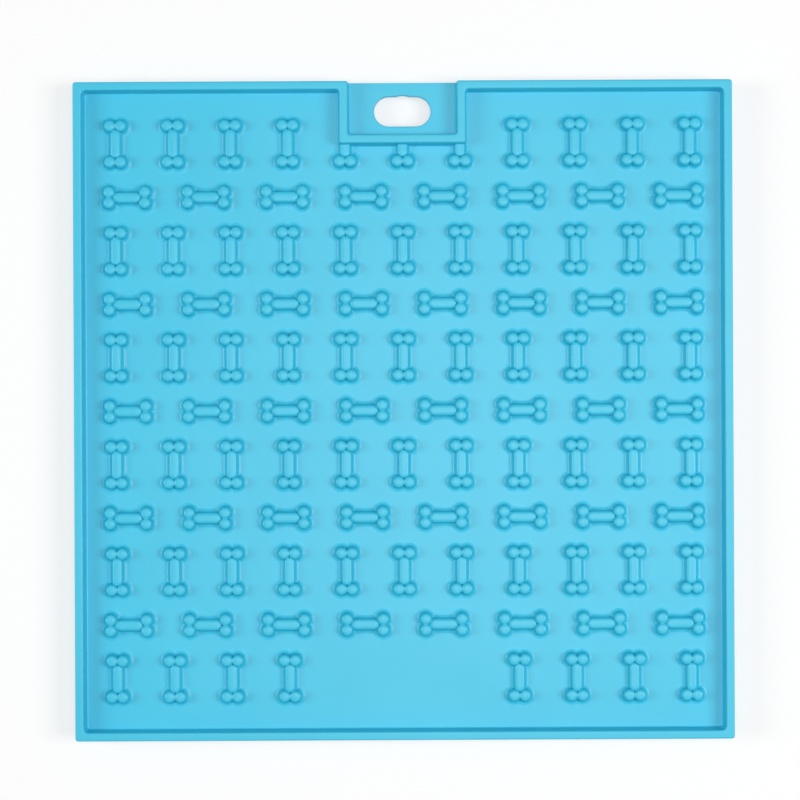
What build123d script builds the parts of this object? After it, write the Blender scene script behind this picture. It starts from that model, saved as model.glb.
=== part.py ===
from build123d import *
import math
import os

# Square lick mat of soft silicone rubber, in millimetres.
# +X is to the right, +Y towards the hanging slot and +Z up. The origin is on the surface
# that the suction cups stand on, under the middle of the mat.

# Sheet
mat_side = 200.0
mat_corner_radius = 0.8
sheet_thickness = 2.0
sheet_edge_radius = 0.4

# Rim round the edge, and the guard that carries it round the hanging tab
rim_width = 2.6
rim_height = 4.8
rim_top_radius = 0.5
wall_draft_angle = 3.0
tray_corner_radius = 1.4
tab_width = 33.2
tab_depth = 16.3
guard_corner_radius = 0.6

# Hanging slot, with a shallow notch in its upper edge that centres the hook
slot_length = 17.3
slot_width = 9.1
slot_edge_distance = 8.7
notch_radius = 4.25
notch_rise = 0.4

# Raised bone: four ball ends and a round-ended shaft between them
ball_radius = 2.0
ball_height = 3.0
ball_spacing_across = 3.3
ball_spacing_along = 11.0
shaft_radius = 1.75
shaft_height = 2.1
shaft_straight = 5.4
foot_flare = 0.25

# Pattern of bones in the tray: rows of upright bones with rows of level bones between them
row_pitch = 16.3
upright_pitch = 17.5
level_pitch = 24.0
least_bone_margin = 5.0
bare_patch_width = 60.0
least_bone_share = 0.2

# Suction cups under the sheet
cup_height = 3.0
cup_lip_radius = 9.0
cup_neck_radius = 7.0
cup_lip_thickness = 0.5
cup_seat_width = 0.8
cup_hollow_depth = 1.9
cup_pitch = 31.5
least_cup_margin = 10.0

# Levels and places that follow from these sizes
floor_level = cup_height + sheet_thickness
rim_level = floor_level + rim_height
draft_offset = rim_height * math.tan(math.radians(wall_draft_angle))
tray_side = mat_side - 2 * rim_width
tab_bottom = mat_side / 2 - tab_depth
guard_bottom = tab_bottom - rim_width
guard_width = tab_width + 2 * rim_width
slot_centre = mat_side / 2 - slot_edge_distance
bone_width = ball_spacing_across + 2 * (ball_radius + foot_flare)
bone_length = ball_spacing_along + 2 * (ball_radius + foot_flare)


def spread(count, pitch):
    """Centres of a row of things, evenly spaced about zero."""
    return [(number - (count - 1) / 2) * pitch for number in range(count)]


def count_that_fits(room, size, pitch):
    """How many things of one size fit into a length at a pitch."""
    return math.floor((room - size) / pitch) + 1


def slot_outline():
    notch_centre = slot_width / 2 + notch_rise - notch_radius
    outline = SlotOverall(slot_length, slot_width) + Pos(0, notch_centre) * Circle(notch_radius)
    return Pos(0, slot_centre) * outline


def base_sheet():
    outline = RectangleRounded(mat_side, mat_side, mat_corner_radius)
    sheet = extrude(outline, sheet_thickness)
    sheet = fillet(sheet.faces().sort_by(Axis.Z)[0].edges(), sheet_edge_radius)
    sheet -= extrude(slot_outline(), sheet_thickness)
    return Pos(0, 0, cup_height) * sheet


def drafted_cut(outline):
    """A cut from the rim's top down to the floor, narrower at its foot by the draft."""
    return extrude(Pos(0, 0, rim_level) * outline, -rim_height, taper=wall_draft_angle)


def tray_outline():
    """Inner edge of the rim at its top, with the step round the guard."""
    guard_height = mat_side / 2 - guard_bottom
    guard = Pos(0, guard_bottom + guard_height / 2) * Rectangle(guard_width, guard_height)
    outline = Rectangle(tray_side, tray_side) - guard
    beside_guard = outline.vertices().filter_by(lambda corner: abs(corner.X) < guard_width)
    guard_corners = beside_guard.sort_by(Axis.Y)[:2]
    tray_corners = [corner for corner in outline.vertices() if corner not in guard_corners]
    outline = fillet(tray_corners, tray_corner_radius)
    guard_corners = outline.vertices().sort_by_distance((0, guard_bottom))[:2]
    return fillet(guard_corners, guard_corner_radius)


def tab_outline():
    """Inner edge of the guard at its top, open towards the edge of the mat."""
    overrun = 2 * rim_width
    height = tab_depth + overrun
    return Pos(0, tab_bottom + height / 2) * Rectangle(tab_width, height)


def walls():
    """The rim and the guard as they run into each other."""
    outline = RectangleRounded(mat_side, mat_side, mat_corner_radius)
    block = extrude(Pos(0, 0, floor_level) * outline, rim_height)
    block = block - drafted_cut(tray_outline()) - drafted_cut(tab_outline())
    top_edges = block.faces().sort_by(Axis.Z)[-1].edges()
    return fillet(top_edges, rim_top_radius)


def guard_share():
    """The block of space in which the walls belong to the guard."""
    half_width = guard_width / 2 + tray_corner_radius + draft_offset
    near = guard_bottom - rim_width
    far = mat_side / 2 + rim_width
    share = Pos(0, (near + far) / 2) * Rectangle(2 * half_width, far - near)
    return extrude(Pos(0, 0, floor_level) * share, rim_height)


def domed_post(radius, height):
    """A short round post that flares at its foot and whose top is half a ball."""
    top = (0, height)
    shoulder = (radius, height - radius)
    profile = Polyline(top, (0, 0), (radius + foot_flare, 0), shoulder)
    profile += RadiusArc(shoulder, top, -radius)
    return revolve(make_face(Plane.XZ * profile), Axis.Z)


def shaft():
    """A bar with a round top and round ends, low enough to leave a dip before the ball ends."""
    equator = shaft_height - shaft_radius
    half_foot = shaft_radius + foot_flare
    left = (-shaft_radius, equator)
    right = (shaft_radius, equator)
    section = Polyline(left, (-half_foot, 0), (half_foot, 0), right)
    section += ThreePointArc(right, (0, shaft_height), left)
    bar = extrude(make_face(Plane.XZ * section), shaft_straight / 2, both=True)
    for y in spread(2, shaft_straight):
        bar += Pos(0, y) * domed_post(shaft_radius, shaft_height)
    return bar


def upright_bone():
    bone = shaft()
    for x in spread(2, ball_spacing_across):
        for y in spread(2, ball_spacing_along):
            bone += Pos(x, y) * domed_post(ball_radius, ball_height)
    return Pos(0, 0, floor_level) * bone


def beyond_guard_face():
    """All the space behind the guard's front face, drafted as that face is."""
    reach = guard_width / 2 + bone_length
    foot = guard_bottom - draft_offset
    back = foot + bone_length
    side = Polyline((foot, floor_level), (guard_bottom, rim_level), (back, rim_level),
                    (back, floor_level), close=True)
    return extrude(make_face(Plane.YZ * side), reach, both=True)


def bone_rows():
    """Every row of bones by name, from the slot's side down, and the bones that the guard trims."""
    bone = upright_bone()
    level_bone = Rot(0, 0, 90) * bone
    guard_space = beyond_guard_face()
    room = tray_side - 2 * least_bone_margin
    row_pairs = (count_that_fits(room, bone_length, row_pitch) - 1) // 2
    upright_columns = spread(count_that_fits(room, bone_width, upright_pitch), upright_pitch)
    level_columns = spread(count_that_fits(room, bone_length, level_pitch), level_pitch)
    row_places = spread(2 * row_pairs + 1, row_pitch)[::-1]

    rows = {}
    trimmed = []
    for number, y in enumerate(row_places[0::2], start=1):
        row = []
        for x in upright_columns:
            in_bare_patch = y == row_places[-1] and abs(x) < bare_patch_width / 2
            meets_guard = y + bone_length / 2 > guard_bottom and abs(x) < (guard_width + bone_width) / 2
            if meets_guard:
                rest = Pos(x, y) * bone - guard_space
                if rest.volume > least_bone_share * bone.volume:
                    trimmed.append(rest.solids().sort_by(SortBy.VOLUME)[-1])
            elif not in_bare_patch:
                row.append(Pos(x, y) * bone)
        rows[f"upright_bone_row_{number}"] = row
    for number, y in enumerate(row_places[1::2], start=1):
        rows[f"level_bone_row_{number}"] = [Pos(x, y) * level_bone for x in level_columns]
    rows["guard_trimmed_bones"] = trimmed
    return rows


def suction_cup():
    neck = (cup_neck_radius, cup_height)
    lip = (cup_lip_radius, cup_lip_thickness)
    seat_radius = cup_lip_radius - cup_seat_width
    crown = (0, cup_hollow_depth)
    crown_radius = (seat_radius**2 + cup_hollow_depth**2) / (2 * cup_hollow_depth)
    profile = Polyline(crown, (0, cup_height), neck)
    profile += TangentArc(neck, lip, tangent=(0, -1))
    profile += Polyline(lip, (cup_lip_radius, 0), (seat_radius, 0))
    profile += RadiusArc((seat_radius, 0), crown, -crown_radius)
    return revolve(make_face(Plane.XZ * profile), Axis.Z)


def cup_meets_slot(x, y):
    """Whether a cup at this place would reach under the hanging slot."""
    past_slot_straight = max(abs(x) - (slot_length - slot_width) / 2, 0)
    reach = cup_lip_radius + slot_width / 2 + notch_rise
    return math.hypot(past_slot_straight, y - slot_centre) < reach


def cup_rows():
    """Rows of cups by name, from the slot's side down."""
    cup = suction_cup()
    room = mat_side - 2 * least_cup_margin
    places = spread(count_that_fits(room, 2 * cup_lip_radius, cup_pitch), cup_pitch)
    rows = {}
    for number, y in enumerate(reversed(places), start=1):
        row = [Pos(x, y) * cup for x in places if not cup_meets_slot(x, y)]
        rows[f"suction_cup_row_{number}"] = row
    return rows


os.makedirs("parts", exist_ok=True)
wall_loop = walls()
guard_block = guard_share()
nodes = {
    "base_sheet": [base_sheet()],
    "border_rim": [wall_loop - guard_block],
    "hanger_guard": [wall_loop & guard_block],
}
nodes.update(bone_rows())
nodes.update(cup_rows())
for name, pieces in nodes.items():
    export_step(Compound(children=pieces), f"parts/{name}.step")
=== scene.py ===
import math

import bmesh
import bpy
import numpy as np
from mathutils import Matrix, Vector


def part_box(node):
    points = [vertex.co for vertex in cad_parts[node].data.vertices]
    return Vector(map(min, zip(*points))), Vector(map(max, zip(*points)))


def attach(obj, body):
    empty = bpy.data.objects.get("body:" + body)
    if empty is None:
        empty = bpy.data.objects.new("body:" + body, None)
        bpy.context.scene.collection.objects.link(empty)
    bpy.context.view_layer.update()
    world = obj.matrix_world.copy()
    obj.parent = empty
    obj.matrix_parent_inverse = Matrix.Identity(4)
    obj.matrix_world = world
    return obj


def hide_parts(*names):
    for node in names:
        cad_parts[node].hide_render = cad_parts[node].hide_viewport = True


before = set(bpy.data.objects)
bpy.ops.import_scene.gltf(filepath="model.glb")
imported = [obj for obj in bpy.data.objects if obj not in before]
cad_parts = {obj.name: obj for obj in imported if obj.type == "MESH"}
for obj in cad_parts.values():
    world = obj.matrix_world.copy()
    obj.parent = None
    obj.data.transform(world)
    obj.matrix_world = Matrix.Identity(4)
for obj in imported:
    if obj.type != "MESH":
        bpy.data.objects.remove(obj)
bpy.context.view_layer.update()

# Sizes are in millimetres and become metres when a mesh is made.
MM = 0.001

# Edges that turn by more than this many degrees stay sharp
SHARP_ANGLE = 40.0

# Levels and the mat's half side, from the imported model
sheet_low, sheet_high = (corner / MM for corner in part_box("base_sheet"))
HALF_SIDE = sheet_high.x
SHEET_BOTTOM = sheet_low.z
FLOOR = sheet_high.z
RIM_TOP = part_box("border_rim")[1].z / MM

# Rim, guard and hanging tab
RIM_WIDTH = 2.6
WALL_DRAFT = 3.0
TAB_HALF_WIDTH = 16.6
TAB_BOTTOM = 83.7
OUTER_CORNER_RADIUS = 0.9
TRAY_CORNER_RADIUS = 1.4
GUARD_CORNER_RADIUS = 0.7
GUARD_HOLLOW_RADIUS = 0.9
MOUTH_CORNER_RADIUS = 0.6
TAB_CORNER_RADIUS = 0.9
WALL_EDGE_RADIUS = 0.5
WALL_EDGE_STEPS = 4
SHEET_EDGE_RADIUS = 0.35
SHEET_EDGE_STEPS = 3
ARC_STEPS = 6

# Hanging slot
SLOT_CENTRE = 91.3
SLOT_HALF_STRAIGHT = 4.1
SLOT_RADIUS = 4.55
NOTCH_RISE = 0.4
NOTCH_HALF_WIDTH = 2.6
SLOT_ARC_STEPS = 16

# Raised bones. In the middle of the first and last rows there are no whole ones.
BALL_RADIUS = 1.8
BALL_HEIGHT = 3.0
BALL_ACROSS = 1.65
BALL_ALONG = 5.5
SHAFT_RADIUS = 1.65
SHAFT_HEIGHT = 2.1
SHAFT_HALF_STRAIGHT = 2.7
SIDE_LEAN = 0.05
TOP_FLATNESS = 4.0
BALL_BLEND = 0.1
FOOT_BLEND = 1.4
FOOT_REACH = 0.45
FOOT_SINK = 0.001
BONE_STEP = 0.42
UPRIGHT_PITCH = 17.5
LEVEL_PITCH = 24.0
MIDDLE_HALF_WIDTH = 30.0

# Suction cups
CUP_PITCH = 31.5
CUP_LIP_RADIUS = 9.0
CUP_NECK_RADIUS = 7.0
CUP_LIP_THICKNESS = 0.5
CUP_SEAT_WIDTH = 0.8
CUP_HOLLOW_DEPTH = 1.9
CUP_SEGMENTS = 48
CUP_ARC_STEPS = 8

# Light from all round, and the paper's share of plain white near the mat.
# The share grows between two distances from the mat's middle, in metres as the paper's side is.
SURROUND_LIGHT = 0.22
WHITE_SHARE = 0.55
FADE_START = 0.15
FADE_END = 0.6
PAPER_SIDE = 8.0

# Camera, from the photograph
CAMERA_DISTANCE = 580.0
VIEW_WIDTH = 242.4
VIEW_CENTRE = (-1.1, 3.15)
CAMERA_ROLL = 0.27


def add_mesh(name, points, faces, normals=None):
    """A smooth mesh object from points in millimetres, with sharp edges kept unless normals are given."""
    mesh = bpy.data.meshes.new(name)
    mesh.from_pydata((np.asarray(points) * MM).tolist(), [], [list(map(int, face)) for face in faces])
    mesh.validate()
    mesh.shade_smooth()
    if normals is None:
        mesh.set_sharp_from_angle(angle=math.radians(SHARP_ANGLE))
    else:
        mesh.normals_split_custom_set_from_vertices(normals)
    piece = bpy.data.objects.new(name, mesh)
    bpy.context.scene.collection.objects.link(piece)
    return piece


def finish_piece(piece, material, *nodes):
    """Gives a piece its rubber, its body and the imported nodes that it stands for."""
    piece.data.materials.append(material)
    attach(piece, "root")
    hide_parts(*nodes)


# Mat body: sheet, rim, guard and hanging tab

def rounded_loop(corners):
    """Points round a closed outline of square corners, each given as x, y and its radius."""
    points = []
    for number, (x, y, radius) in enumerate(corners):
        here = Vector((x, y))
        to_last = (Vector(corners[number - 1][:2]) - here).normalized()
        to_next = (Vector(corners[(number + 1) % len(corners)][:2]) - here).normalized()
        centre = here + radius * (to_last + to_next)
        for step in range(ARC_STEPS + 1):
            angle = math.radians(90) * step / ARC_STEPS
            points.append(centre - radius * (to_next * math.cos(angle) + to_last * math.sin(angle)))
    return points


def tray_loop(draft):
    """The wall's tray side, drawn in from its top edge by the draft."""
    side = HALF_SIDE - RIM_WIDTH - draft
    guard = TAB_HALF_WIDTH + RIM_WIDTH + draft
    front = TAB_BOTTOM - RIM_WIDTH - draft
    hollow = TRAY_CORNER_RADIUS - draft
    beside = GUARD_HOLLOW_RADIUS - draft
    proud = GUARD_CORNER_RADIUS + draft
    return rounded_loop([
        (-side, -side, hollow), (side, -side, hollow), (side, side, hollow), (guard, side, beside),
        (guard, front, proud), (-guard, front, proud), (-guard, side, beside), (-side, side, hollow),
    ])


def outer_loop(draft):
    """The wall's outer side, which turns in round the hanging tab."""
    side = HALF_SIDE
    tab = TAB_HALF_WIDTH - draft
    bottom = TAB_BOTTOM + draft
    corner = OUTER_CORNER_RADIUS
    mouth = MOUTH_CORNER_RADIUS + draft
    hollow = TAB_CORNER_RADIUS - draft
    return rounded_loop([
        (-side, -side, corner), (side, -side, corner), (side, side, corner), (tab, side, mouth),
        (tab, bottom, hollow), (-tab, bottom, hollow), (-tab, side, mouth), (-side, side, corner),
    ])


def tab_line(inset):
    """The wall round the tab near its foot, from its right mouth corner to its left one, both sharp there."""
    steps = ARC_STEPS + 1
    line = outer_loop(inset)[3 * steps:7 * steps]
    for number in range(steps):
        rise = MOUTH_CORNER_RADIUS * number / ARC_STEPS
        line[number] = Vector((TAB_HALF_WIDTH - inset, HALF_SIDE - rise))
        line[-1 - number] = Vector((inset - TAB_HALF_WIDTH, HALF_SIDE - rise))
    return line


def tab_foot_rows(body, draft):
    """Rows of corners down the hollow rounding between the wall and the tab's floor."""
    rows = []
    for step in range(WALL_EDGE_STEPS + 1):
        angle = math.radians(90) * step / WALL_EDGE_STEPS
        inset = draft + WALL_EDGE_RADIUS * (1 - math.cos(angle))
        level = FLOOR + WALL_EDGE_RADIUS * (1 - math.sin(angle))
        rows.append(ring(body, tab_line(inset), level))
    return rows


def slot_loop():
    """The hanging slot: two round ends, a straight lower edge and an upper edge with a notch."""
    points = []
    for end, first in ((1, -90), (-1, 90)):
        for step in range(SLOT_ARC_STEPS + 1):
            angle = math.radians(first + 180 * step / SLOT_ARC_STEPS)
            points.append(Vector((end * SLOT_HALF_STRAIGHT + SLOT_RADIUS * math.cos(angle),
                                  SLOT_CENTRE + SLOT_RADIUS * math.sin(angle))))
        if end == 1:
            for step in range(SLOT_ARC_STEPS + 1):
                x = NOTCH_HALF_WIDTH * (1 - 2 * step / SLOT_ARC_STEPS)
                rise = NOTCH_RISE * (1 + math.cos(math.pi * x / NOTCH_HALF_WIDTH)) / 2
                points.append(Vector((x, SLOT_CENTRE + SLOT_RADIUS + rise)))
    return points


def ring(body, points, level):
    return [body.verts.new((point.x, point.y, level)) for point in points]


def chain(body, corners, closed):
    """Edges along a row of corners."""
    pairs = list(zip(corners, corners[1:]))
    if closed:
        pairs.append((corners[-1], corners[0]))
    return [body.edges.get(pair) or body.edges.new(pair) for pair in pairs]


def wall(body, upper, lower, closed):
    """Four-sided faces between two rows of corners."""
    count = len(upper)
    for number in range(count if closed else count - 1):
        after = (number + 1) % count
        body.faces.new((upper[number], upper[after], lower[after], lower[number]))


def round_edges(body, edges, radius, segments):
    bmesh.ops.bevel(body, geom=edges, offset=radius, offset_type="OFFSET", segments=segments,
                    profile=0.5, affect="EDGES", clamp_overlap=False)


def mat_body():
    """The sheet with its slot, and the wall that runs round its edge and round the hanging tab."""
    draft = (RIM_TOP - FLOOR) * math.tan(math.radians(WALL_DRAFT))
    body = bmesh.new()
    tray_top = ring(body, tray_loop(0), RIM_TOP)
    tray_foot = ring(body, tray_loop(draft), FLOOR)
    outer_top = ring(body, outer_loop(0), RIM_TOP)
    first = 3 * (ARC_STEPS + 1)
    last = 7 * (ARC_STEPS + 1)
    tab_top = outer_top[first:last]
    foot_rows = tab_foot_rows(body, draft)
    tab_foot = foot_rows[-1]
    side_top = outer_top[last - 1:] + outer_top[:first + 1]
    side_bottom = ring(body, [corner.co.xy for corner in side_top], SHEET_BOTTOM)
    slot_top = ring(body, slot_loop(), FLOOR)
    slot_bottom = ring(body, slot_loop(), SHEET_BOTTOM)

    wall(body, outer_top, tray_top, closed=True)
    wall(body, tray_top, tray_foot, closed=True)
    for upper, lower in zip([tab_top] + foot_rows, foot_rows):
        wall(body, upper, lower, closed=False)
    wall(body, side_top[1:-1], side_bottom[1:-1], closed=False)
    wall(body, slot_top, slot_bottom, closed=True)
    body.faces.new(tray_foot)
    left_ends = [row[-1] for row in reversed(foot_rows)]
    right_ends = [row[0] for row in foot_rows]
    body.faces.new([side_top[0], side_top[1], side_bottom[1], side_bottom[0]] + left_ends)
    body.faces.new([side_top[-2], side_top[-1]] + right_ends + [side_bottom[-1], side_bottom[-2]])
    body.faces.new((tab_foot[-1], side_bottom[0], side_bottom[-1], tab_foot[0]))
    for outline, hole in ((tab_foot, slot_top), (side_bottom, slot_bottom)):
        edges = chain(body, outline, closed=True) + chain(body, hole, closed=True)
        bmesh.ops.triangle_fill(body, edges=edges, use_beauty=True, use_dissolve=False)
    bmesh.ops.recalc_face_normals(body, faces=body.faces)

    wall_edges = chain(body, tray_top, True) + chain(body, outer_top, True)
    foot_edges = chain(body, tray_foot, True)
    sheet_edges = chain(body, side_bottom, True)
    sheet_edges += chain(body, slot_top, True) + chain(body, slot_bottom, True)
    round_edges(body, wall_edges + foot_edges, WALL_EDGE_RADIUS, WALL_EDGE_STEPS)
    sheet_edges = [edge for edge in sheet_edges if edge.is_valid]
    round_edges(body, sheet_edges, SHEET_EDGE_RADIUS, SHEET_EDGE_STEPS)
    body.verts.index_update()
    points = [corner.co[:] for corner in body.verts]
    faces = [[corner.index for corner in face.verts] for face in body.faces]
    body.free()
    piece = add_mesh("mat_body", points, faces)
    normals = piece.modifiers.new("flat_faces_stay_flat", "WEIGHTED_NORMAL")
    normals.weight = 100
    normals.keep_sharp = True
    return piece


# Raised bones, from a distance field whose parts melt into each other

def smooth_min(first, second, reach):
    share = np.clip(0.5 + 0.5 * (second - first) / reach, 0, 1)
    return second + (first - second) * share - reach * share * (1 - share)


def dome(across, along, z, radius, height):
    """Distance to a round post with leaning sides, whose domed top is flatter than a ball."""
    aside = np.maximum(np.hypot(across, along) - SIDE_LEAN * (height - z), 0)
    over = np.maximum(z - (height - radius), 0)
    return (aside**TOP_FLATNESS + over**TOP_FLATNESS)**(1 / TOP_FLATNESS) - radius


def bone_distance(points):
    """Distance to an upright bone on the floor at zero, with its ball ends, shaft and foot blended."""
    x, y, z = np.moveaxis(points, -1, 0)
    past_shaft = np.maximum(np.abs(y) - SHAFT_HALF_STRAIGHT, 0)
    bone = dome(x, past_shaft, z, SHAFT_RADIUS, SHAFT_HEIGHT)
    for side in (-BALL_ACROSS, BALL_ACROSS):
        for end in (-BALL_ALONG, BALL_ALONG):
            ball = dome(x - side, y - end, z, BALL_RADIUS, BALL_HEIGHT)
            bone = smooth_min(bone, ball, BALL_BLEND)
    return smooth_min(bone, z + FOOT_SINK, FOOT_BLEND)


def slopes(points, distance):
    """How the distance grows along each axis at the points."""
    small = 0.01
    slope = np.empty_like(points)
    for axis in range(3):
        shift = np.zeros(3)
        shift[axis] = small
        slope[:, axis] = (distance(points + shift) - distance(points - shift)) / (2 * small)
    return slope


def settle(points, distance):
    """Moves points onto the surface where the distance is zero."""
    rounds = 6
    least_steepness = 0.1
    for _ in range(rounds):
        slope = slopes(points, distance)
        steep = np.maximum((slope**2).sum(1), least_steepness)
        points = points - slope * (distance(points) / steep)[:, None]
    return points


def surface_net(distance, low, high, step):
    """Points and four-sided faces on the surface of a distance field within a box."""
    axes = [np.arange(start, end + step, step) for start, end in zip(low, high)]
    grid = np.stack(np.meshgrid(*axes, indexing="ij"), -1)
    inside = distance(grid) < 0
    corners = np.zeros(np.array(inside.shape) - 1, int)
    for i in (0, 1):
        for j in (0, 1):
            for k in (0, 1):
                corners += inside[i:i + corners.shape[0], j:j + corners.shape[1], k:k + corners.shape[2]]
    crossed = (corners > 0) & (corners < 8)
    number = np.full(corners.shape, -1)
    number[crossed] = np.arange(crossed.sum())
    points = grid[:-1, :-1, :-1][crossed] + step / 2
    faces = []
    for axis in range(3):
        turned = np.moveaxis(inside, axis, 0)
        cells = np.moveaxis(number, axis, 0)
        i, j, k = np.nonzero((turned[:-1] != turned[1:])[:, 1:-1, 1:-1])
        round_edge = [cells[i, j, k], cells[i, j + 1, k], cells[i, j + 1, k + 1], cells[i, j, k + 1]]
        faces.append(np.stack(round_edge, 1))
    return settle(points, distance), np.concatenate(faces)


def cut_and_close(body, point, normal):
    """Takes away what lies in front of a plane and closes the cut with one face."""
    geometry = body.verts[:] + body.edges[:] + body.faces[:]
    bmesh.ops.bisect_plane(body, geom=geometry, plane_co=point, plane_no=normal, clear_outer=True)
    rim = [edge for edge in body.edges if edge.is_boundary]
    bmesh.ops.edgeloop_fill(body, edges=rim)


def bone_shape(cuts=()):
    """Points, faces and normals of one upright bone, cut off at planes."""
    reach = FOOT_BLEND + SIDE_LEAN * BALL_HEIGHT + BONE_STEP
    high = (BALL_ACROSS + BALL_RADIUS + reach, BALL_ALONG + BALL_RADIUS + reach, BALL_HEIGHT + BONE_STEP)
    low = (-high[0], -high[1], -3 * BONE_STEP)
    points, faces = surface_net(bone_distance, low, high, BONE_STEP)
    body = bmesh.new()
    corners = [body.verts.new(point) for point in points]
    for face in faces:
        body.faces.new([corners[number] for number in face])
    for point, normal in [((0, 0, 0), (0, 0, -1)), *cuts]:
        cut_and_close(body, point, normal)
    loose = [corner for corner in body.verts if not corner.link_faces]
    bmesh.ops.delete(body, geom=loose, context="VERTS")
    bmesh.ops.recalc_face_normals(body, faces=body.faces)
    body.verts.index_update()
    points = np.array([corner.co[:] for corner in body.verts])
    faces = [[corner.index for corner in face.verts] for face in body.faces]
    body.free()
    normals = slopes(points, bone_distance)
    normals /= np.linalg.norm(normals, axis=1, keepdims=True)
    return points, faces, normals


def repeat_shape(name, shape, places, turned=False):
    """One piece of many copies of a shape, each at its own place on the mat."""
    points, faces, normals = shape
    if turned:
        points = points[:, [1, 0, 2]] * (-1, 1, 1)
        normals = normals[:, [1, 0, 2]] * (-1, 1, 1)
    all_points = np.concatenate([points + place for place in places])
    all_faces = []
    for copy in range(len(places)):
        all_faces += [[corner + copy * len(points) for corner in face] for face in faces]
    all_normals = None if normals is None else np.tile(normals, (len(places), 1))
    return add_mesh(name, all_points, all_faces, all_normals)


def places_in_row(node, pitch, length):
    """Where the bones of a packed row stand, given their pitch and their length along the row."""
    low, high = (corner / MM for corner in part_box(node))
    first = low.x + length / 2
    count = round((high.x - length / 2 - first) / pitch) + 1
    middle = (low.y + high.y) / 2
    return [(first + number * pitch, middle, FLOOR) for number in range(count)]


def bones(material):
    """A piece for each packed row of bones."""
    whole = bone_shape()
    width = 2 * (BALL_ACROSS + BALL_RADIUS + FOOT_REACH)
    length = 2 * (BALL_ALONG + BALL_RADIUS + FOOT_REACH)
    for node in sorted(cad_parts):
        if node.startswith("level_bone_row"):
            piece = repeat_shape(f"{node}_skin", whole, places_in_row(node, LEVEL_PITCH, length), turned=True)
            finish_piece(piece, material, node)
        elif node.startswith("upright_bone_row"):
            places = places_in_row(node, UPRIGHT_PITCH, width)
            end_row = node in ("upright_bone_row_1", "upright_bone_row_6")
            kept = [place for place in places if not end_row or abs(place[0]) > MIDDLE_HALF_WIDTH]
            finish_piece(repeat_shape(f"{node}_skin", whole, kept), material, node)
    trimmed_bones(material, width)


def trimmed_bones(material, width):
    """The bones that the guard cuts short, each ending on the guard's front face."""
    node = "guard_trimmed_bones"
    row_low, row_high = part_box("upright_bone_row_1")
    row_middle = (row_low.y + row_high.y) / 2 / MM
    slope = math.tan(math.radians(WALL_DRAFT))
    foot = TAB_BOTTOM - RIM_WIDTH - (RIM_TOP - FLOOR) * slope
    shape = bone_shape([((0, foot - row_middle, 0), (0, 1, -slope))])
    places = [(x, row_middle, z) for x, y, z in places_in_row(node, UPRIGHT_PITCH, width)]
    finish_piece(repeat_shape(f"{node}_skin", shape, places), material, node)


# Suction cups

def cup_shape():
    """Points and faces of one cup, turned from its profile."""
    seat = CUP_LIP_RADIUS - CUP_SEAT_WIDTH
    crown_radius = (seat**2 + CUP_HOLLOW_DEPTH**2) / (2 * CUP_HOLLOW_DEPTH)
    profile = []
    for step in range(1, CUP_ARC_STEPS + 1):
        radius = seat * step / CUP_ARC_STEPS
        profile.append((radius, CUP_HOLLOW_DEPTH - crown_radius + math.sqrt(crown_radius**2 - radius**2)))
    edge = CUP_LIP_THICKNESS / 2
    for angle in (-90, -60, -30, 0, 30, 60):
        turn = math.radians(angle)
        profile.append((CUP_LIP_RADIUS - edge + edge * math.cos(turn), edge + edge * math.sin(turn)))
    flare = CUP_LIP_RADIUS - edge - CUP_NECK_RADIUS
    rise = SHEET_BOTTOM - 2 * edge
    for step in range(CUP_ARC_STEPS):
        turn = math.radians(90) * (1 - step / (CUP_ARC_STEPS - 1))
        profile.append((CUP_NECK_RADIUS + flare * (1 - math.cos(turn)), SHEET_BOTTOM - rise * math.sin(turn)))
    points = [(0, 0, CUP_HOLLOW_DEPTH)]
    for radius, level in profile:
        for segment in range(CUP_SEGMENTS):
            turn = math.tau * segment / CUP_SEGMENTS
            points.append((radius * math.cos(turn), radius * math.sin(turn), level))
    faces = []
    for segment in range(CUP_SEGMENTS):
        after = (segment + 1) % CUP_SEGMENTS
        faces.append((0, 1 + after, 1 + segment))
        for row in range(len(profile) - 1):
            near = 1 + row * CUP_SEGMENTS
            far = near + CUP_SEGMENTS
            faces.append((near + segment, near + after, far + after, far + segment))
    top = 1 + (len(profile) - 1) * CUP_SEGMENTS
    faces.append(tuple(range(top, top + CUP_SEGMENTS)))
    return np.array(points), faces, None


def cups(material):
    """A piece for each packed row of cups."""
    shape = cup_shape()
    for node in sorted(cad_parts):
        if node.startswith("suction_cup_row"):
            places = [(x, y, 0) for x, y, z in places_in_row(node, CUP_PITCH, 2 * CUP_LIP_RADIUS)]
            finish_piece(repeat_shape(f"{node}_skin", shape, places), material, node)


# Materials

def new_material(name):
    material = bpy.data.materials.new(name)
    material.use_nodes = True
    nodes = material.node_tree.nodes
    return material, nodes, material.node_tree.links, nodes["Principled BSDF"]


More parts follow.
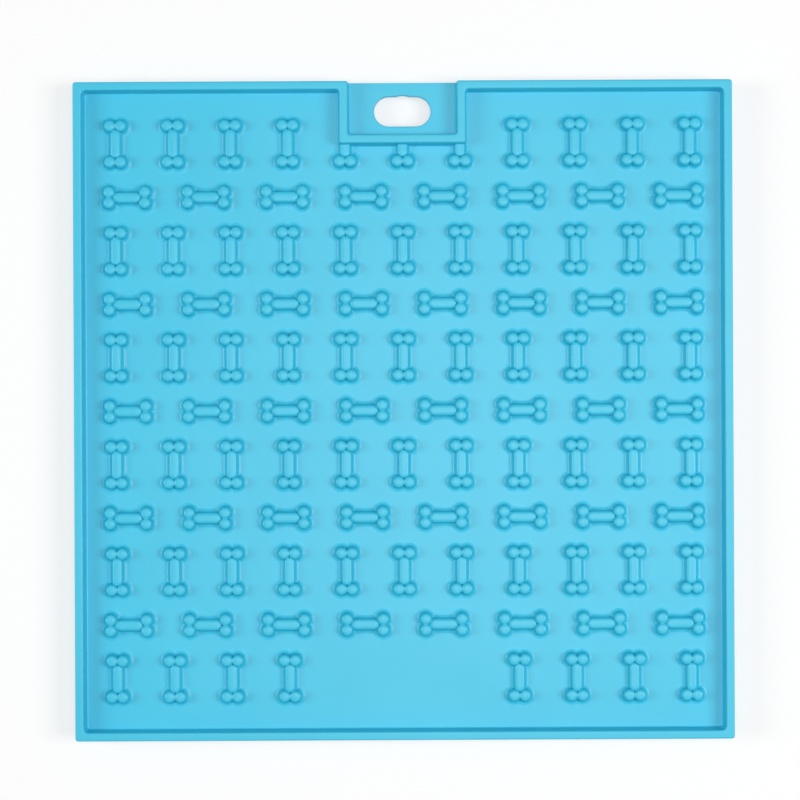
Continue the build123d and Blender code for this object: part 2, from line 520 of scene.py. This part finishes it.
def silicone():
    """Satin light-blue silicone rubber with a fine mould grain and a faint drift of tone."""
    material, nodes, links, shader = new_material("silicone")
    place = nodes.new("ShaderNodeTexCoord")

    cloud = nodes.new("ShaderNodeTexNoise")
    cloud.inputs["Scale"].default_value = 38.0
    cloud.inputs["Detail"].default_value = 5.0
    links.new(place.outputs["Object"], cloud.inputs["Vector"])
    tone = nodes.new("ShaderNodeValToRGB")
    tone.color_ramp.elements[0].position = 0.3
    tone.color_ramp.elements[0].color = (0.036, 0.515, 0.724, 1)
    tone.color_ramp.elements[1].position = 0.7
    tone.color_ramp.elements[1].color = (0.042, 0.535, 0.744, 1)
    links.new(cloud.outputs["Fac"], tone.inputs["Fac"])
    links.new(tone.outputs["Color"], shader.inputs["Base Color"])

    grain = nodes.new("ShaderNodeTexNoise")
    grain.inputs["Scale"].default_value = 2600.0
    grain.inputs["Detail"].default_value = 3.0
    links.new(place.outputs["Object"], grain.inputs["Vector"])
    gloss = nodes.new("ShaderNodeMapRange")
    gloss.inputs["To Min"].default_value = 0.32
    gloss.inputs["To Max"].default_value = 0.40
    links.new(grain.outputs["Fac"], gloss.inputs["Value"])
    links.new(gloss.outputs["Result"], shader.inputs["Roughness"])
    relief = nodes.new("ShaderNodeBump")
    relief.inputs["Strength"].default_value = 0.12
    relief.inputs["Distance"].default_value = 0.00005
    links.new(grain.outputs["Fac"], relief.inputs["Height"])
    links.new(relief.outputs["Normal"], shader.inputs["Normal"])

    shader.inputs["IOR"].default_value = 1.5
    return material


def seen_directly(nodes, links):
    """A number that is one for the camera, in reflections and through glass, and zero for other light."""
    path = nodes.new("ShaderNodeLightPath")
    last = path.outputs["Is Camera Ray"]
    for name in ("Is Glossy Ray", "Is Transmission Ray"):
        either = nodes.new("ShaderNodeMath")
        either.operation = "MAXIMUM"
        links.new(last, either.inputs[0])
        links.new(path.outputs[name], either.inputs[1])
        last = either.outputs["Value"]
    return last


def studio_floor():
    """White paper that keeps the mat's shadow and fades to plain white away from it."""
    material, nodes, links, shader = new_material("studio_floor")
    shader.inputs["Base Color"].default_value = (0.97, 0.97, 0.97, 1)
    shader.inputs["Roughness"].default_value = 0.9
    place = nodes.new("ShaderNodeNewGeometry")
    distance = nodes.new("ShaderNodeVectorMath")
    distance.operation = "LENGTH"
    links.new(place.outputs["Position"], distance.inputs[0])
    fade = nodes.new("ShaderNodeMapRange")
    fade.inputs["From Min"].default_value = FADE_START
    fade.inputs["From Max"].default_value = FADE_END
    fade.inputs["To Min"].default_value = WHITE_SHARE
    links.new(distance.outputs["Value"], fade.inputs["Value"])
    share = nodes.new("ShaderNodeMath")
    share.operation = "MULTIPLY"
    links.new(seen_directly(nodes, links), share.inputs[0])
    links.new(fade.outputs["Result"], share.inputs[1])
    glow = nodes.new("ShaderNodeEmission")
    blend = nodes.new("ShaderNodeMixShader")
    links.new(share.outputs["Value"], blend.inputs["Fac"])
    links.new(shader.outputs["BSDF"], blend.inputs[1])
    links.new(glow.outputs["Emission"], blend.inputs[2])
    links.new(blend.outputs["Shader"], nodes["Material Output"].inputs["Surface"])
    bpy.ops.mesh.primitive_grid_add(x_subdivisions=8, y_subdivisions=8, size=PAPER_SIDE)
    floor = bpy.context.object
    floor.name = "floor"
    floor.data.materials.append(material)


# Light and camera

def area_light(name, place, size, power):
    """A soft panel that faces the mat's middle, with its place and size in metres and its power in watts."""
    lamp = bpy.data.lights.new(name, "AREA")
    lamp.shape = "RECTANGLE"
    lamp.size, lamp.size_y = size
    lamp.energy = power
    light = bpy.data.objects.new(name, lamp)
    light.location = place
    light.rotation_euler = (-Vector(place)).to_track_quat("-Z", "Y").to_euler()
    bpy.context.scene.collection.objects.link(light)


def studio_light():
    area_light("top_panel", (0.08, -0.02, 1.24), (0.62, 0.50), 4.4)
    area_light("right_softbox", (0.80, -0.05, 0.90), (0.40, 0.55), 6.4)
    area_light("left_softbox", (-1.00, 0.04, 0.74), (0.40, 0.55), 5.2)
    world = bpy.data.worlds.new("studio")
    world.use_nodes = True
    nodes = world.node_tree.nodes
    links = world.node_tree.links
    seen = nodes.new("ShaderNodeMapRange")
    seen.inputs["To Min"].default_value = SURROUND_LIGHT
    links.new(seen_directly(nodes, links), seen.inputs["Value"])
    nodes["Background"].inputs["Color"].default_value = (1, 1, 1, 1)
    links.new(seen.outputs["Result"], nodes["Background"].inputs["Strength"])
    bpy.context.scene.world = world


def camera():
    """Straight down on the mat, rolled by as much as the photograph is."""
    lens = bpy.data.cameras.new("camera")
    lens.sensor_width = 36.0
    lens.lens = lens.sensor_width * CAMERA_DISTANCE / VIEW_WIDTH
    view = bpy.data.objects.new("camera", lens)
    view.location = (VIEW_CENTRE[0] * MM, VIEW_CENTRE[1] * MM, (RIM_TOP + CAMERA_DISTANCE) * MM)
    view.rotation_euler = (0, 0, math.radians(-CAMERA_ROLL))
    bpy.context.scene.collection.objects.link(view)
    bpy.context.scene.camera = view


rubber = silicone()
finish_piece(mat_body(), rubber, "base_sheet", "border_rim", "hanger_guard")
bones(rubber)
cups(rubber)
studio_floor()
studio_light()
camera()
bpy.context.scene.view_settings.view_transform = "Standard"
